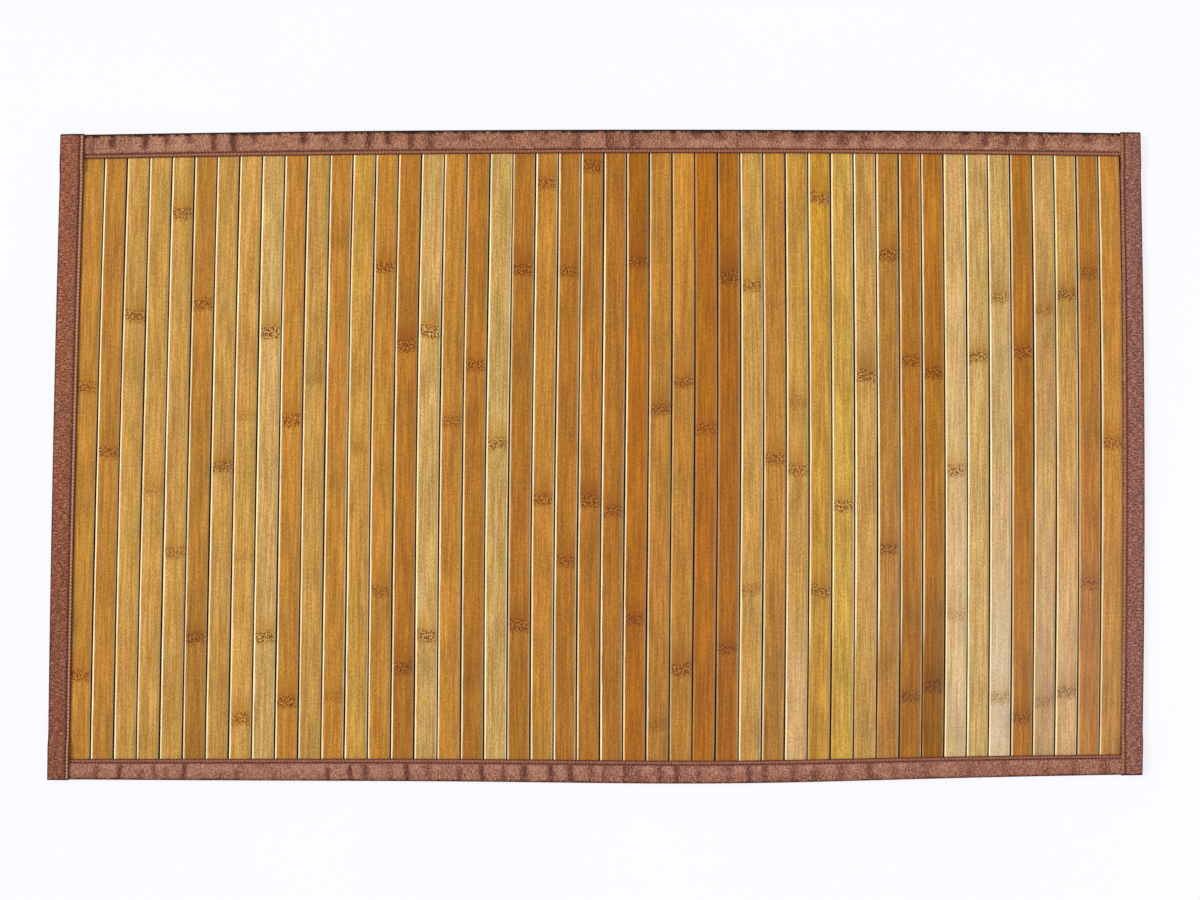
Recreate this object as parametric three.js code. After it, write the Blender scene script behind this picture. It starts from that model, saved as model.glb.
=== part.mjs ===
// A flat floor mat of bamboo slats. The slats lie side by side on a backing cloth, and a folded cloth
// tape binds each of the four edges. The two side tapes lap over the ends of the two long ones.
// Millimetres, Z up. X runs along the mat and Y along the slats.
// The origin is on the floor, under the middle of the mat.

import * as THREE from "three";

// Driving dimensions
const MAT = { length: 850, depth: 503 };
const CLEARANCE = 0.3; // between pieces that lie on each other
const SLAT = { count: 46, width: 17.1, gap: 0.7, thickness: 2.2, offset: -0.7, steps: 6 };
const BACKING = { thickness: 1, longestStep: 45 };
const TAPE = { thickness: 1, foldRadius: 2.2, crown: 0.25, stitchInset: 3, groove: 0.35, edgeDrop: 0.35 };
const FOLD_INSET = 2.5; // from the mat's outer edge to the ends of what lies inside a fold
const ROUGHNESS = { bamboo: 0.35, tape: 0.75, backing: 0.9 };

// A slat's bevelled upper edge, from its side in to its flat middle
const SLAT_EDGE = [
  { inwards: 0, down: 0.95 },
  { inwards: 0.35, down: 0.4 },
  { inwards: 1.1, down: 0.1 },
  { inwards: 4.7, down: 0 },
];

// How far each tape covers the face, at the start, middle and end of its run, and its colour. The runs
// go round the mat anticlockwise, seen from above.
const EDGES = [
  { name: "front_tape", turn: 0, cover: [15.8, 17.5, 15.7], steps: 94, isLong: true, colour: 0x96604f },
  { name: "right_tape", turn: 1, cover: [17.3, 17, 16.4], steps: 50, isLong: false, colour: 0x8f5f56 },
  { name: "back_tape", turn: 2, cover: [18.7, 18.6, 19.5], steps: 94, isLong: true, colour: 0x9c6451 },
  { name: "left_tape", turn: 3, cover: [19.2, 18.1, 17], steps: 50, isLong: false, colour: 0x844c3d },
];

// The long tapes puff up over each slat and sink in over each gap. A row gives the height of the puffs
// at a place along X.
const PUFFS = {
  front_tape: [
    { x: -405, rise: 0.3 },
    { x: -70, rise: 0.5 },
    { x: 20, rise: 0.65 },
    { x: 130, rise: 0.4 },
    { x: 405, rise: 0.15 },
  ],
  back_tape: [
    { x: -405, rise: 0.6 },
    { x: -190, rise: 0.6 },
    { x: -70, rise: 0.3 },
    { x: 10, rise: 0.6 },
    { x: 120, rise: 0.3 },
    { x: 405, rise: 0.4 },
  ],
};
const PUFF_UNEVENNESS = { share: 0.35, wave: 23.7 };

// Where the side tapes cross the long ones, measured from the mat's outer edge. The backing is snipped
// off there, to notchReach along the mat and notchMargin past the long tape's inner edge.
const CROSSING = { lapEnd: 25.5, lapStart: 33, notchReach: 33.5, notchMargin: 0.6 };

// The mat lies a little out of true. Its back edge leans to the right, its edges bow outwards, its front
// edge swells right of its middle, its slats wander together, and those right of the middle drift right.
const LEAN = 3;
const BOW = { front: 2.8, back: 3.7, left: 1.2, right: 2.9 };
const SWELL = { size: 3.1, at: 0.25, reach: 0.4 }; // places and reaches are shares of half the length
const WANDER = { size: 0.4, across: 70, along: 90 };
const DRIFT = { size: 3.8, frontShare: 0.17, start: -0.6, full: 0.3, fall: 0.5, end: 1 };
const SLAT_SWAY = { size: 0.1, wave: 75, turn: 2.4 };
const GATHER = 2.6; // how far the back end of the leftmost slat is pushed in
const MIDDLE = { x: 0.34, y: -0.96 }; // of the whole mat as it lies

// Bamboo tones, and the tone of each full slat from left to right
const TONES = { pale: 0xd2aa6c, straw: 0xc49a58, honey: 0xba8842, amber: 0xaf7434, toffee: 0xa4682a };
const SLAT_TONES = [
  "honey honey straw straw straw honey straw straw pale honey straw honey",
  "straw honey amber pale honey amber pale amber honey amber amber amber",
  "toffee honey honey toffee toffee straw honey straw straw pale straw honey",
  "amber amber pale pale pale amber straw straw amber honey",
].join(" ").split(" ");
const BACKING_COLOUR = 0x4a3226;

const X = new THREE.Vector3(1, 0, 0);
const Y = new THREE.Vector3(0, 1, 0);
const Z = new THREE.Vector3(0, 0, 1);

// Heights above the floor
const PITCH = SLAT.width + SLAT.gap;
const BACKING_BASE = TAPE.thickness + CLEARANCE;
const SLAT_BASE = BACKING_BASE + BACKING.thickness + CLEARANCE;
const TAPE_UNDERSIDE = SLAT_BASE + SLAT.thickness + CLEARANCE;
const TAPE_TOP = TAPE_UNDERSIDE + TAPE.thickness;

// What one tape climbs to clear another where they cross, below the slats and above them
const LOWER_LAP = TAPE.thickness + CLEARANCE;
const UPPER_LAP = TAPE.thickness + TAPE.crown + CLEARANCE;

// Runs change over each vertex of a geometry. It takes and changes a THREE.Vector3.
function reshape(geometry, change) {
  const position = geometry.getAttribute("position");
  const point = new THREE.Vector3();
  for (let i = 0; i < position.count; i += 1) {
    point.fromBufferAttribute(position, i);
    change(point);
    position.setXYZ(i, point.x, point.y, point.z);
  }
  geometry.computeVertexNormals();
  return geometry;
}

// Extrudes a section by an even number of steps, centred on its plane.
function extrude(shape, length, steps) {
  const settings = { depth: length, steps, bevelEnabled: false, curveSegments: 2 };
  return new THREE.ExtrudeGeometry(shape, settings).translate(0, 0, -length / 2);
}

function makeMesh(name, geometry, colour, roughness) {
  const material = new THREE.MeshStandardMaterial({ color: colour, roughness, metalness: 0 });
  const mesh = new THREE.Mesh(geometry, material);
  mesh.name = name;
  return mesh;
}

// The value at share 0 to 1 of a smooth line through a start, a middle and an end.
function alongThree([start, middle, end], share) {
  const chord = start + (end - start) * share;
  return chord + (middle - (start + end) / 2) * 4 * share * (1 - share);
}

// The height that a table of { x, rise } rows gives at x.
function riseAt(rows, x) {
  const next = rows.findIndex((row) => row.x > x);
  if (next <= 0) return 0;
  const [a, b] = [rows[next - 1], rows[next]];
  return THREE.MathUtils.mapLinear(x, a.x, b.x, a.rise, b.rise);
}

// A slat's section stands on its underside: a flat middle, a low shoulder and a bevel on each side.
function slatSection(width) {
  const edge = SLAT_EDGE.map(({ inwards, down }) => [width / 2 - inwards, SLAT.thickness - down]);
  const rightSide = [[width / 2, 0], ...edge];
  const leftSide = rightSide.map(([x, z]) => [-x, z]).reverse();
  return new THREE.Shape([...rightSide, ...leftSide].map(([x, z]) => new THREE.Vector2(x, z)));
}

// The slats left of the middle lie a little closer together towards the back.
function gatherAt(centre, y) {
  const leftwards = Math.max(-centre / (MAT.length / 2), 0);
  return GATHER * leftwards * (0.5 + y / MAT.depth);
}

function makeSlat(name, centre, width, tone, number) {
  const length = MAT.depth - 2 * FOLD_INSET;
  const toSlatFrame = new THREE.Matrix4().makeBasis(X, Z, Y.clone().negate());
  const geometry = extrude(slatSection(width), length, SLAT.steps).applyMatrix4(toSlatFrame);
  reshape(geometry, (point) => {
    const sway = SLAT_SWAY.size * Math.sin(point.y / SLAT_SWAY.wave + SLAT_SWAY.turn * number);
    point.x += sway + gatherAt(centre, point.y);
  });
  const mesh = makeMesh(name, geometry, TONES[tone], ROUGHNESS.bamboo);
  mesh.position.set(centre, 0, SLAT_BASE);
  return mesh;
}

// The full slats, and at each side a narrower one that the side tape hides.
function makeSlats() {
  const slats = new THREE.Group();
  const half = (SLAT.count * PITCH) / 2;
  for (let i = 0; i < SLAT.count; i += 1) {
    const name = `slat_${String(i + 1).padStart(2, "0")}`;
    const centre = (i + 0.5) * PITCH - half + SLAT.offset;
    slats.add(makeSlat(name, centre, SLAT.width, SLAT_TONES[i], i));
  }
  for (const [name, side] of [["edge_slat_left", -1], ["edge_slat_right", 1]]) {
    const inner = half + SLAT.gap / 2 + side * SLAT.offset;
    const outer = MAT.length / 2 - FOLD_INSET;
    slats.add(makeSlat(name, (side * (inner + outer)) / 2, outer - inner, "straw", side * SLAT.count));
  }
  return slats;
}

// The backing is a rectangle with its four corners snipped off, where the tapes cross inside the folds.
function makeBacking() {
  const [front, , back] = EDGES;
  const snips = [
    { sideX: 1, sideY: 1, tapeCover: back.cover[0] },
    { sideX: -1, sideY: 1, tapeCover: back.cover[2] },
    { sideX: -1, sideY: -1, tapeCover: front.cover[0] },
    { sideX: 1, sideY: -1, tapeCover: front.cover[2] },
  ];
  const corners = snips.flatMap(({ sideX, sideY, tapeCover }) => {
    const outerX = sideX * (MAT.length / 2 - FOLD_INSET);
    const outerY = sideY * (MAT.depth / 2 - FOLD_INSET);
    const innerX = sideX * (MAT.length / 2 - CROSSING.notchReach);
    const innerY = sideY * (MAT.depth / 2 - tapeCover - CROSSING.notchMargin);
    const snip = [
      new THREE.Vector2(outerX, innerY),
      new THREE.Vector2(innerX, innerY),
      new THREE.Vector2(innerX, outerY),
    ];
    return sideX === sideY ? snip : snip.reverse();
  });
  const outline = corners.flatMap((corner, i) => {
    const next = corners[(i + 1) % corners.length];
    const steps = Math.ceil(corner.distanceTo(next) / BACKING.longestStep);
    return Array.from({ length: steps }, (_, k) => corner.clone().lerp(next, k / steps));
  });
  const geometry = extrude(new THREE.Shape(outline), BACKING.thickness, 1);
  const mesh = makeMesh("backing", geometry, BACKING_COLOUR, ROUGHNESS.backing);
  mesh.position.z = BACKING_BASE + BACKING.thickness / 2;
  return mesh;
}

// A tape folded round an edge: x is the way in from the mat's outer edge, and y is the height.
function foldSection(cover) {
  const { thickness, foldRadius, crown, groove, edgeDrop } = TAPE;
  const stitchLine = cover - TAPE.stitchInset;
  const shape = new THREE.Shape();
  shape.moveTo(cover, 0);
  shape.lineTo(foldRadius, 0);
  shape.quadraticCurveTo(0, 0, 0, foldRadius);
  shape.lineTo(0, TAPE_TOP - foldRadius);
  shape.quadraticCurveTo(0, TAPE_TOP, foldRadius, TAPE_TOP);
  shape.lineTo(stitchLine / 2, TAPE_TOP + crown);
  shape.lineTo(stitchLine, TAPE_TOP - groove);
  shape.lineTo((stitchLine + cover) / 2, TAPE_TOP);
  shape.lineTo(cover, TAPE_TOP - edgeDrop);
  shape.lineTo(cover, TAPE_UNDERSIDE);
  shape.lineTo(stitchLine / 2, TAPE_UNDERSIDE + crown);
  shape.lineTo(foldRadius, TAPE_UNDERSIDE);
  shape.lineTo(thickness, TAPE_TOP - foldRadius);
  shape.lineTo(thickness, foldRadius);
  shape.lineTo(foldRadius, thickness);
  shape.lineTo(cover, thickness);
  return shape;
}

// How far a long tape puffs up at a place along X.
function puffAt(name, x) {
  const overSlat = (1 - Math.cos((2 * Math.PI * (x - SLAT.offset)) / PITCH)) / 2;
  const uneven = 1 - PUFF_UNEVENNESS.share * (1 + Math.sin(x / PUFF_UNEVENNESS.wave));
  return riseAt(PUFFS[name], x) * overSlat * uneven;
}

// A tape is modelled along X with the mat on its +Y side, and then turned to its edge by quarter turns.
// The steps of a long tape fall on the middles of the slats and on the gaps.
function makeTape({ name, turn, cover, steps, isLong, colour }) {
  const halfRun = isLong ? MAT.length / 2 - FOLD_INSET : MAT.depth / 2;
  const reach = isLong ? MAT.depth / 2 : MAT.length / 2;
  const modelledCover = cover[1];
  const stitchLine = modelledCover - TAPE.stitchInset;
  const toTapeFrame = new THREE.Matrix4().makeBasis(Y, Z, X);
  const geometry = extrude(foldSection(modelledCover), 2 * halfRun, steps).applyMatrix4(toTapeFrame);
  reshape(geometry, (point) => {
    const aboveLowerLeg = (point.z - TAPE.thickness) / (TAPE_UNDERSIDE - TAPE.thickness);
    const towardsTop = THREE.MathUtils.clamp(aboveLowerLeg, 0, 1);
    const facing = turn === 0 ? 1 : -1;
    if (isLong && Math.abs(point.x) < halfRun - PITCH / 4) {
      point.x = Math.round(point.x / (PITCH / 2)) * (PITCH / 2) + facing * SLAT.offset;
    }
    const fromEnd = halfRun - Math.abs(point.x) + (isLong ? FOLD_INSET : 0);
    const lap = 1 - THREE.MathUtils.smoothstep(fromEnd, CROSSING.lapEnd, CROSSING.lapStart);
    if (isLong) {
      const isCrown = towardsTop === 1 && point.y > TAPE.foldRadius && point.y < stitchLine - CLEARANCE;
      if (isCrown) point.z += puffAt(name, facing * point.x);
      point.z += LOWER_LAP * lap * (1 - towardsTop);
    } else {
      point.z += UPPER_LAP * lap * towardsTop;
    }
    if (point.y > TAPE.foldRadius) {
      const wanted = alongThree(cover, (point.x + halfRun) / (2 * halfRun));
      point.y = THREE.MathUtils.mapLinear(point.y, TAPE.foldRadius, modelledCover, TAPE.foldRadius, wanted);
    }
  });
  const mesh = makeMesh(name, geometry, colour, ROUGHNESS.tape);
  mesh.rotation.z = (turn * Math.PI) / 2;
  mesh.position.set(0, -reach, 0).applyAxisAngle(Z, mesh.rotation.z);
  return mesh;
}

// How far a point drifts right. u and v are shares of half the mat's length and depth.
function driftAt(u, v) {
  const rising = THREE.MathUtils.smoothstep(u, DRIFT.start, DRIFT.full);
  const falling = THREE.MathUtils.smoothstep(u, DRIFT.fall, DRIFT.end);
  return DRIFT.size * (1 - DRIFT.frontShare * v) * rising * (1 - falling);
}

// Lays one placed mesh down as the whole mat lies, with its lean, bows, wander and drift.
function layDown(mesh) {
  mesh.updateMatrixWorld(true);
  const toMesh = mesh.matrixWorld.clone().invert();
  reshape(mesh.geometry, (point) => {
    point.applyMatrix4(mesh.matrixWorld);
    const u = point.x / (MAT.length / 2);
    const v = point.y / (MAT.depth / 2);
    const swell = SWELL.size * Math.exp(-(((u - SWELL.at) / SWELL.reach) ** 2));
    const wander = WANDER.size * Math.sin(point.x / WANDER.across + point.y / WANDER.along);
    const bow = u * (u > 0 ? BOW.right : BOW.left) * (1 - v * v);
    point.x += LEAN * v + bow + wander * (1 - u * u) + driftAt(u, v);
    point.y += v * (v > 0 ? BOW.back : BOW.front + swell) * (1 - u * u);
    point.applyMatrix4(toMesh);
  });
}

const mat = new THREE.Group();
mat.name = "bamboo_mat";
mat.add(makeBacking(), makeSlats(), ...EDGES.map(makeTape));
mat.traverse((piece) => {
  if (piece.isMesh) layDown(piece);
});
mat.position.set(-MIDDLE.x, -MIDDLE.y, 0);

export default mat;
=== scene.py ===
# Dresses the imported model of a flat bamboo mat: rounded slats with fibres and knots, folded cloth tapes
# with creases and stitches, and a woven backing. Sizes are in millimetres until lie() turns them into
# metres. The mat is worked out straight and square, and lie() gives each point its place as it lies.

import bpy
import numpy as np
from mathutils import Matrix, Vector


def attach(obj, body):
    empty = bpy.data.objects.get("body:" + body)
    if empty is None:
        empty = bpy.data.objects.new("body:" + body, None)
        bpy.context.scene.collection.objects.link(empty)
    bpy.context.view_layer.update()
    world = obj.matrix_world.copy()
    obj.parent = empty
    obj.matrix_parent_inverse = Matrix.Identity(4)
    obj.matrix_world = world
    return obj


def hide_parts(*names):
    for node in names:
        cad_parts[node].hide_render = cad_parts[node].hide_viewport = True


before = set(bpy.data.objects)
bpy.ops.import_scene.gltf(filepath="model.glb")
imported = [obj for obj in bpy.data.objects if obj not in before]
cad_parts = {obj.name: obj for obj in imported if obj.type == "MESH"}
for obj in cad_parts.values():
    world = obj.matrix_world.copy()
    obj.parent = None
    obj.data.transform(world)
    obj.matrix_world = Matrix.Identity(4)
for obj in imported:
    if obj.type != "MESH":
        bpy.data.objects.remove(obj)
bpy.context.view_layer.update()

# The mat, as in the CAD model
LENGTH, DEPTH = 850.0, 503.0
CLEARANCE = 0.3  # between pieces that lie on each other
SLATS, SLAT_WIDTH, SLAT_GAP, SLAT_THICKNESS, SLAT_OFFSET = 46, 17.1, 0.7, 2.2, -0.7
PITCH = SLAT_WIDTH + SLAT_GAP
TAPE_WIDTH, TAPE_THICKNESS, FOLD_RADIUS, CROWN, STITCH_INSET = 40.0, 1.0, 2.2, 0.25, 3.0
FOLD_INSET = 2.5  # from the mat's outer edge to the ends of what lies inside a fold
BACKING_THICKNESS = 1.0
BACKING_BASE = TAPE_THICKNESS + CLEARANCE
SLAT_BASE = BACKING_BASE + BACKING_THICKNESS + CLEARANCE
TAPE_UNDERSIDE = SLAT_BASE + SLAT_THICKNESS + CLEARANCE
TAPE_TOP = TAPE_UNDERSIDE + TAPE_THICKNESS

# Where two tapes cross: how far from its end a tape starts to climb and has climbed, and how high
LAP_START, LAP_END = 33.0, 25.5
LOWER_LAP = TAPE_THICKNESS + CLEARANCE
UPPER_LAP = TAPE_THICKNESS + CROWN + CLEARANCE
NOTCH_REACH, NOTCH_MARGIN = 33.5, 0.6  # of the corners that are snipped off the backing

# How the mat lies: it leans, its edges bow, the front one swells, and its slats wander, drift and sway
LEAN = 3.0
BOW_FRONT, BOW_BACK, BOW_LEFT, BOW_RIGHT = 2.8, 3.7, 1.2, 2.9
SWELL, SWELL_AT, SWELL_REACH = 3.1, 0.25, 0.4
WANDER, WANDER_ACROSS, WANDER_ALONG = 0.4, 70.0, 90.0
DRIFT, DRIFT_FRONT_SHARE = 3.8, 0.17
DRIFT_START, DRIFT_FULL, DRIFT_FALL, DRIFT_END = -0.6, 0.3, 0.5, 1.0
SWAY, SWAY_WAVE, SWAY_TURN = 0.1, 75.0, 2.4
GATHER = 2.6  # how far the back end of the leftmost slat is pushed in
MIDDLE_X, MIDDLE_Y = 0.34, -0.96  # of the whole mat as it lies

# Each full slat from left to right: its tone, how clear the pale lines along its left and right edges
# are (pale bevels with a painted highlight on them), and its knots as (place along the slat, strength)
SLAT_ROWS = [
    ("honey", 0.3, 0.1, [(53, 1), (-171, 1)]),
    ("honey", 1, 0.1, [(2, 1)]),
    ("straw", 0.9, 0.1, [(108, 1)]),
    ("straw", 0.9, 0.1, [(-27, 0.4)]),
    ("straw", 1, 0.1, [(188, 1), (-76, 0.7)]),
    ("honey", 0.8, 0.1, [(117, 1), (-142, 1)]),
    ("straw", 1, 0.1, [(-9, 1)]),
    ("straw", 1, 0.1, [(30, 0.4), (-79, 0.3), (-204, 1)]),
    ("pale", 1, 0.3, [(95, 1.4), (-141, 1)]),
    ("honey", 0.9, 0.1, [(26, 1.4), (-191, 1.4)]),
    ("straw", 0.9, 0.1, [(58, 0.4)]),
    ("honey", 1, 0.5, [(164, 0.3), (-187, 0.4)]),
    ("straw", 1, 0.4, [(4, 0.3)]),
    ("honey", 0.8, 0.1, [(145, 1), (-106, 0.7)]),
    ("amber", 0.9, 0.1, [(84, 2), (-165, 1)]),
    ("pale", 1, 0.5, [(95, 1.4), (-140, 1)]),
    ("honey", 0.8, 0.2, [(25, 0.7)]),
    ("amber", 0.8, 0.2, [(68, 1)]),
    ("pale", 1, 1, [(8, 1)]),
    ("amber", 0.5, 0.3, [(143, 1.5), (-132, 1.5)]),
    ("honey", 0.9, 0.5, [(210, 1), (-35, 1)]),
    ("amber", 0.8, 0.5, [(141, 1), (-82, 1)]),
    ("amber", 0.8, 0.1, [(223, 1.4), (-36, 2)]),
    ("amber", 1, 0.3, [(-44, 1)]),
    ("toffee", 0.8, 0.1, [(148, 1), (-127, 1)]),
    ("honey", 0.6, 0.1, [(34, 1), (-207, 0.5)]),
    ("honey", 0.3, 0.1, [(55, 0.9), (-165, 1.4)]),
    ("toffee", 0.1, 0.1, [(19, 1)]),
    ("toffee", 0.2, 0.3, [(137, 1.6), (-148, 1)]),
    ("straw", 0.8, 0.6, [(130, 1), (-104, 0.5)]),
    ("honey", 0.6, 0.1, [(-5, 1)]),
    ("straw", 0.8, 0.3, [(39, 0.5), (-13, 1)]),
    ("straw", 0.8, 0.2, [(198, 1), (-106, 1)]),
    ("pale", 0.8, 0.6, [(-41, 1)]),
    ("straw", 0.9, 0.5, [(60, 1.5)]),
    ("honey", 0.9, 0.3, [(154, 1.3), (-74, 1)]),
    ("amber", 0.7, 0.5, [(71, 1), (-188, 1)]),
    ("amber", 0.7, 0.2, [(62, 1), (-180, 1.3)]),
    ("pale", 0.8, 0.7, [(-14, 1), (-126, 0.4)]),
    ("pale", 1, 0.3, [(74, 1)]),
    ("pale", 0.9, 0.9, [(121, 0.7), (-190, 0.6)]),
    ("amber", 0.6, 0.2, [(78, 1.4), (-206, 1)]),
    ("straw", 0.8, 0.3, [(111, 0.6), (-194, 0.6)]),
    ("straw", 0.8, 0.9, [(123, 1), (-187, 1)]),
    ("amber", 0.4, 0.4, [(140, 0.8), (-103, 1)]),
    ("honey", 0.7, 0.1, [(7, 1)]),
]
EDGE_SLAT_ROW = ("straw", 0.1, 0.1, [])
MOST_KNOTS = 3
NO_KNOT = (5000.0, 0.0)  # a place far off any slat
# The slats whose left lines end before the front, and where along them the lines fade out and in
DULL_FRONTS, DULL_FROM, DULL_TO, DULL_LEVEL = range(33, 39), -165.0, -125.0, 0.15
# Where along a slat the shade, tint and painted sheen of its ends begin, and where they are full
BACK_END, FRONT_END = (90.0, 180.0), (-60.0, -180.0)
# How much brighter a slat is at its back end, middle and front end: as a rule, and where uneven
USUAL_SHADES = (0.0, 0.0, -0.06)
UNEVEN_SHADES = {
    6: (0, -0.05, -0.2), 8: (0.07, 0.03, 0.04), 12: (0.05, 0.04, 0.06), 15: (0.12, 0, -0.08),
    17: (0.06, 0, 0.08), 18: (0.1, 0.05, -0.05), 25: (-0.14, 0, -0.1), 26: (-0.05, -0.08, -0.24),
    27: (0.2, -0.02, -0.15), 28: (0.06, 0.03, 0), 29: (-0.04, -0.1, -0.14), 31: (-0.05, -0.04, -0.26),
    32: (-0.04, -0.02, 0.1), 36: (-0.12, -0.12, -0.12), 37: (0, -0.04, -0.2), 38: (0.03, -0.04, -0.36),
    41: (-0.1, -0.1, -0.08), 43: (-0.06, -0.08, -0.22), 46: (0.04, 0, -0.16),
}
# The cast of a few slats at their back end, middle and front end: a golden tint below 0, and a whitish
# painted sheen above it
NO_TINT_AND_SHEEN = (0.0, 0.0, 0.0)
TINTS_AND_SHEENS = {
    13: (-0.5, -0.3, -0.3), 25: (-0.6, -0.2, -0.4), 28: (-0.2, -0.4, -0.5), 29: (-0.3, -0.5, -0.4),
    32: (-0.5, -0.2, 0.3), 33: (-0.9, -0.6, -0.6), 34: (-0.6, -0.7, -0.7), 37: (0, 0, -0.6),
    38: (0, 0, -0.9), 39: (0.1, 0.2, 0.3), 41: (0, 0.15, 0.75), 42: (-0.2, -0.6, -0.3),
    43: (0.1, 0.1, 0.15), 44: (0, 0, 0.15),
}
# How dull the finish of a few slats is; the others have 1
DULLNESS = {33: 2, 34: 2, 37: 2.5, 38: 3.5, 39: 0, 41: 0, 42: 2.5, 43: 0, 44: 0}
SLAT_STEPS = 62
# The slats' edges are a little wobbly, their faces roll a little, and their tones differ
WOBBLE, WOBBLE_WAVE, ROLL = 0.05, 23.0, 0.004
DARKEST, BRIGHTEST = 0.97, 1.05
LINE_UNEVENNESS, LINE_WAVE = 0.2, 40.0

# Each tone's own colour, and how the colours of its fibres and knots are shifted from it
TONES = {"pale": "cca55d", "straw": "c59648", "honey": "bd832f", "amber": "af7220", "toffee": "ad6a0a"}
SHIFTS = {
    "dark": (0.72, 0.6, 0.4), "light": (1.28, 1.38, 1.9), "olive": (0.88, 1.0, 0.5),
    "orange": (1.12, 0.86, 0.8), "warm": (0.7, 0.51, 0.04),
}
# A golden tint, and a whitish painted sheen in place of a hazy reflection on the lacquer
GOLDEN_TINT, PAINTED_SHEEN = (1.0, 0.93, 0.3, 1), (0.6, 0.5, 0.38, 1)
# The pale bevels, bare bamboo with a painted highlight on it; a painted shade that greys each slat's right
# side; and a dark painted shade on the sides down in the gaps
BEVEL_CREAM_AND_HIGHLIGHT, RIGHT_SIDE_SHADE, GAP_SIDE_SHADE = (1.0, 0.87, 0.56, 1), (0.34, 0.22, 0.08, 1), (0.08, 0.024, 0.001, 1)
# The streaks in the bamboo: how fine they are across and along a slat, their detail and roughness, and
# a number that sets each pattern apart
STREAKS = {
    "hue": (0.25, 0.008, 2.0, 0.6, 1.3),
    "broad": (0.28, 0.014, 2.0, 0.6, 2.9),
    "fibres": (0.55, 0.012, 3.0, 0.7, 4.1),
    "hairs": (1.05, 0.03, 2.0, 0.7, 7.7),
    "flecks": (0.8, 0.6, 2.0, 0.7, 9.2),
    "patches": (0.06, 0.02, 2.0, 0.6, 13.1),
}
# How much of the dark colour a pattern brings in, and how much of that share it brings of the light one
DARK_SHARES, LIGHT_SHARE = {"broad": 0.5, "fibres": 0.8, "hairs": 0.75, "flecks": 0.6}, 0.8
# A knot's band fades from its middle, and its stain reaches back from it and a little forward
BAND_FADE, STAIN_BACK, STAIN_FRONT = (7.0, 2.0), (26.0, 2.0), (-7.0, 0.0)

# The tapes run round the mat anticlockwise, seen from above. cover is how far a tape reaches over the
# face at the start, middle and end of its run. colours are the cloth's middle, dark and light ones, the
# rim's painted highlight and the outer fold's painted shade; the four tapes are one cloth, and their
# differing colours paint how the light falls on each. outline is how wide the painted shade along the
# outer fold is, hem how dark the painted shadow along the inner edge is, and dusk how much painted
# shade darkens the cloth towards the front.
TAPES = {
    "front_tape": dict(
        turn=0, cover=(15.8, 17.5, 15.7), outline=1.1, hem_shade=1.0, dusk=0.0,
        colours=("9e5f49", "5c2a1b", "d8a48c", "b8705a", "2a130c"),
    ),
    "right_tape": dict(
        turn=1, cover=(17.3, 17.0, 16.4), outline=0.9, hem_shade=0.1, dusk=0.0,
        colours=("8c5346", "4f2119", "d3a08f", "c27b4c", "2a120d"),
    ),
    "back_tape": dict(
        turn=2, cover=(18.7, 18.6, 19.5), outline=2.1, hem_shade=1.0, dusk=0.0,
        colours=("a06246", "5c2a18", "dfa98c", "bf7a5c", "0e0a08"),
    ),
    "left_tape": dict(
        turn=3, cover=(19.2, 18.1, 17.0), outline=1.1, hem_shade=1.0, dusk=0.26,
        colours=("925034", "521f12", "d89a78", "e2ab8c", "1c100b"),
    ),
}
LONG_TURNS = (0, 2)
DUSK_FROM, DUSK_TO = -100.0, 200.0  # towards the front from the tape's middle

# The long tapes puff up over each slat. A row gives a place along X and the height of the puffs there.
PUFFS = {
    "front_tape": [(-405, 0.3), (-70, 0.5), (20, 0.65), (130, 0.4), (405, 0.15)],
    "back_tape": [(-405, 0.6), (-190, 0.6), (-70, 0.3), (10, 0.6), (120, 0.3), (405, 0.4)],
}
PUFF_UNEVENNESS, PUFF_WAVE = 0.35, 23.7

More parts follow.
